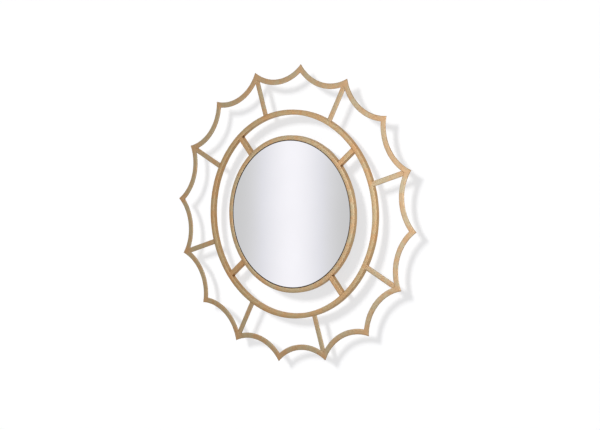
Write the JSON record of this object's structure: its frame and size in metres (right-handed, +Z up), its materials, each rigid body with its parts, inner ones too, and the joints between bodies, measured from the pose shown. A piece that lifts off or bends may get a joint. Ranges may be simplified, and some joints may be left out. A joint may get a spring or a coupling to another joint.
{
  "type": "sunburst wall mirror",
  "caption": "Round flat wall mirror in a matt gold metal sunburst: a pointed scalloped border carried on spokes by concentric rings, hung by keyhole hangers.",
  "frame": {"origin": "centre of the mirror in the front view, halfway between the front faces and the wall", "axes": "+Z up, +X to the right seen from the front, -Y towards the viewer, +Y into the wall"},
  "size_m": [0.8, 0.033, 0.8],
  "materials": {
    "gold_metal": "satin",
    "mirror": "polished",
    "card": "matte",
    "board": "matte",
    "zinc_steel": "satin",
    "black_rubber": "matte"
  },
  "bodies": {
    "root": {"border_arc_01": "gold_metal", "border_arc_02": "gold_metal", "border_arc_03": "gold_metal", "border_arc_04": "gold_metal", "border_arc_05": "gold_metal", "border_arc_06": "gold_metal", "border_arc_07": "gold_metal", "border_arc_08": "gold_metal", "border_arc_09": "gold_metal", "border_arc_10": "gold_metal", "border_arc_11": "gold_metal", "border_arc_12": "gold_metal", "border_arc_13": "gold_metal", "border_arc_14": "gold_metal", "border_arc_15": "gold_metal", "border_arc_16": "gold_metal", "outer_spoke_1": "gold_metal", "outer_spoke_2": "gold_metal", "outer_spoke_3": "gold_metal", "outer_spoke_4": "gold_metal", "outer_spoke_5": "gold_metal", "outer_spoke_6": "gold_metal", "outer_spoke_7": "gold_metal", "outer_spoke_8": "gold_metal", "inner_spoke_1": "gold_metal", "inner_spoke_2": "gold_metal", "inner_spoke_3": "gold_metal", "inner_spoke_4": "gold_metal", "middle_ring": "gold_metal", "mirror_ring": "gold_metal", "mirror_glass": "mirror", "cushion_sheet": "card", "back_board": "board", "retaining_clip_1": "zinc_steel", "retaining_clip_2": "zinc_steel", "retaining_clip_3": "zinc_steel", "retaining_clip_4": "zinc_steel", "retaining_clip_5": "zinc_steel", "retaining_clip_6": "zinc_steel", "retaining_clip_7": "zinc_steel", "retaining_clip_8": "zinc_steel", "clip_screws": "zinc_steel", "hanger_left": "zinc_steel", "hanger_right": "zinc_steel", "glazing_gasket": "black_rubber", "bumper_left": "black_rubber", "bumper_right": "black_rubber"}
  },
  "joints": []
}
